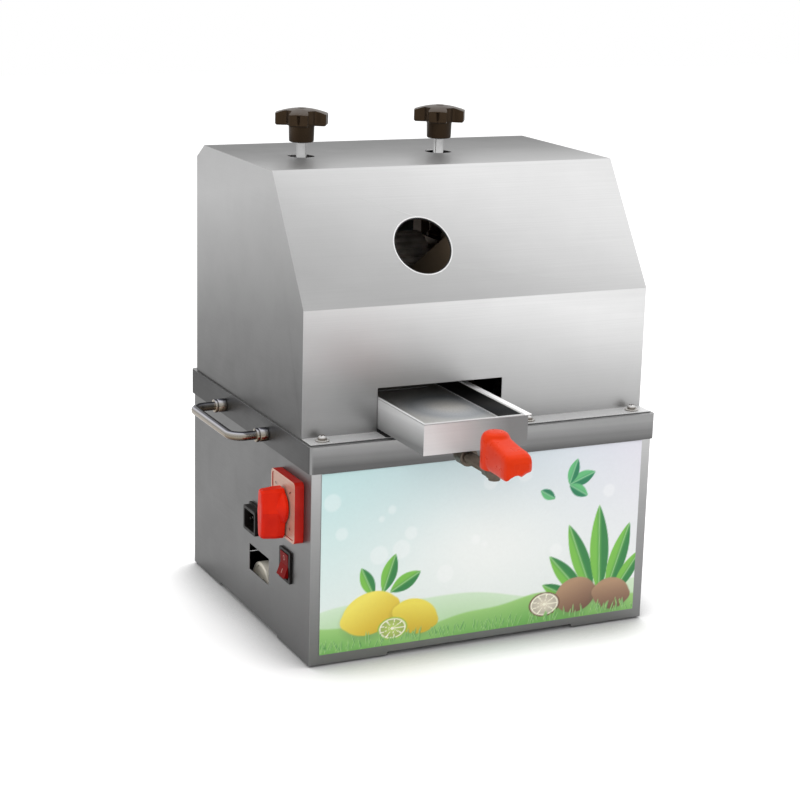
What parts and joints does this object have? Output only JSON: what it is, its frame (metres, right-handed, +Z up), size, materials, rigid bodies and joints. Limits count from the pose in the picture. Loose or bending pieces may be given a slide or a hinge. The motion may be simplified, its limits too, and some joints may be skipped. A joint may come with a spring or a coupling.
{
  "type": "electric sugarcane juicer",
  "caption": "Desktop electric sugarcane juicer: sloped sheet metal hood over a geared roller mill, pull-out juice tray with a lever tap, cabinet with rotary and rocker switches.",
  "frame": {"origin": "on the floor, at the middle of the footprint's bounding box", "axes": "+X to the right as seen from the front, +Y to the back, +Z up; the tray and the tap face -Y"},
  "size_m": [0.487, 0.538, 0.546],
  "materials": {
    "sheet_steel": "brushed",
    "bright_steel": "polished",
    "tray_steel": "satin",
    "mill_steel": "machined",
    "cast_frame": "as cast, painted grey",
    "bearing_bronze": "machined",
    "tap_brass": "tumbled",
    "knob_bakelite": "semi gloss",
    "black_plastic": "matte",
    "red_plastic": "semi gloss",
    "tap_red": "semi gloss",
    "rocker_red": "gloss",
    "foot_rubber": "matte",
    "cream_plastic": "satin",
    "print_vinyl": "satin",
    "motor_paint": "satin"
  },
  "bodies": {
    "frame": {"cabinet_shell": "sheet_steel", "front_print": "print_vinyl", "rear_panel": "sheet_steel", "base_plate": "sheet_steel", "foot_front_left": "foot_rubber", "foot_front_right": "foot_rubber", "foot_rear_left": "foot_rubber", "foot_rear_right": "foot_rubber", "deck": "sheet_steel", "left_handle": "bright_steel", "right_handle": "bright_steel", "hood_screw_left": "bright_steel", "hood_screw_right": "bright_steel", "hood": "sheet_steel", "feed_chute": "sheet_steel", "bagasse_chute": "sheet_steel", "left_cheek": "cast_frame", "right_cheek": "cast_frame", "front_tie_bar": "mill_steel", "rear_tie_bar": "mill_steel", "turner_bar": "mill_steel", "left_bridge": "cast_frame", "right_bridge": "cast_frame", "front_left_bush": "bearing_bronze", "rear_left_bush": "bearing_bronze", "front_right_bush": "bearing_bronze", "rear_right_bush": "bearing_bronze", "gear_motor": "motor_paint", "motor_bracket": "mill_steel", "run_capacitor": "cream_plastic", "left_tray_rail": "sheet_steel", "right_tray_rail": "sheet_steel", "drip_guide": "sheet_steel", "switch_body": "black_plastic", "switch_plate": "red_plastic", "rocker_housing": "black_plastic", "mains_inlet": "black_plastic"},
    "tray": {"juice_tray": "tray_steel", "strainer_pan": "tray_steel", "drain_elbow": "tap_brass", "drain_nipple": "tap_brass", "valve_body": "tap_brass"},
    "tap_handle": {"tap_lever": "tap_red"},
    "carriage": {"left_bearing_block": "bearing_bronze", "right_bearing_block": "bearing_bronze"},
    "left_screw_set": {"left_pressure_screw": "bright_steel", "left_star_knob": "knob_bakelite"},
    "right_screw_set": {"right_pressure_screw": "bright_steel", "right_star_knob": "knob_bakelite"},
    "top_roller_set": {"top_roller": "mill_steel", "top_gear": "mill_steel"},
    "front_roller_set": {"front_roller": "mill_steel", "front_gear": "mill_steel", "drive_gear": "mill_steel"},
    "rear_roller_set": {"rear_roller": "mill_steel", "rear_gear": "mill_steel"},
    "pinion_set": {"drive_pinion": "mill_steel"},
    "switch_knob_set": {"switch_knob": "red_plastic"},
    "rocker_set": {"rocker": "rocker_red"}
  },
  "joints": [
    {"name": "tray_slide", "type": "slide", "parent": "frame", "child": "tray", "axis": [0, -1, 0], "range_m": [0, 0.12]},
    {"name": "tap_turn", "type": "hinge", "parent": "tray", "child": "tap_handle", "pos_m": [-0.06, -0.219, 0.24], "axis": [0, 0, 1], "range_deg": [0, 90]},
    {"name": "carriage_lift", "type": "slide", "parent": "frame", "child": "carriage", "axis": [0, 0, 1], "range_m": [0, 0.002]},
    {"name": "left_screw_turn", "type": "hinge", "parent": "carriage", "child": "left_screw_set", "pos_m": [-0.127, 0.119, 0.46], "axis": [0, 0, 1], "range_deg": [0, 360]},
    {"name": "right_screw_turn", "type": "hinge", "parent": "carriage", "child": "right_screw_set", "pos_m": [0.036, 0.119, 0.46], "axis": [0, 0, 1], "range_deg": [0, 360]},
    {"name": "front_roller_spin", "type": "hinge", "parent": "frame", "child": "front_roller_set", "pos_m": [-0.0455, 0.0775, 0.318], "axis": [1, 0, 0], "continuous": true},
    {"name": "top_roller_spin", "type": "hinge", "parent": "carriage", "child": "top_roller_set", "pos_m": [-0.0455, 0.119, 0.37437], "axis": [1, 0, 0], "continuous": true},
    {"name": "rear_roller_spin", "type": "hinge", "parent": "frame", "child": "rear_roller_set", "pos_m": [-0.0455, 0.1605, 0.318], "axis": [1, 0, 0], "continuous": true},
    {"name": "pinion_spin", "type": "hinge", "parent": "frame", "child": "pinion_set", "pos_m": [0.078, 0.09296, 0.199], "axis": [1, 0, 0], "continuous": true},
    {"name": "switch_turn", "type": "hinge", "parent": "frame", "child": "switch_knob_set", "pos_m": [-0.2086, -0.0415, 0.1605], "axis": [1, 0, 0], "range_deg": [-60, 60]},
    {"name": "rocker_tilt", "type": "hinge", "parent": "frame", "child": "rocker_set", "pos_m": [-0.1953, -0.029, 0.0915], "axis": [0, 1, 0], "range_deg": [-18, 0]}
  ],
  "couplings": [
    {"joint": "top_roller_spin", "follows": "front_roller_spin", "ratio": -1},
    {"joint": "rear_roller_spin", "follows": "front_roller_spin", "ratio": 1},
    {"joint": "pinion_spin", "follows": "front_roller_spin", "ratio": -3.2857},
    {"joint": "left_screw_turn", "follows": "carriage_lift", "rad_per_m": 3141.6},
    {"joint": "right_screw_turn", "follows": "carriage_lift", "rad_per_m": 3141.6}
  ]
}
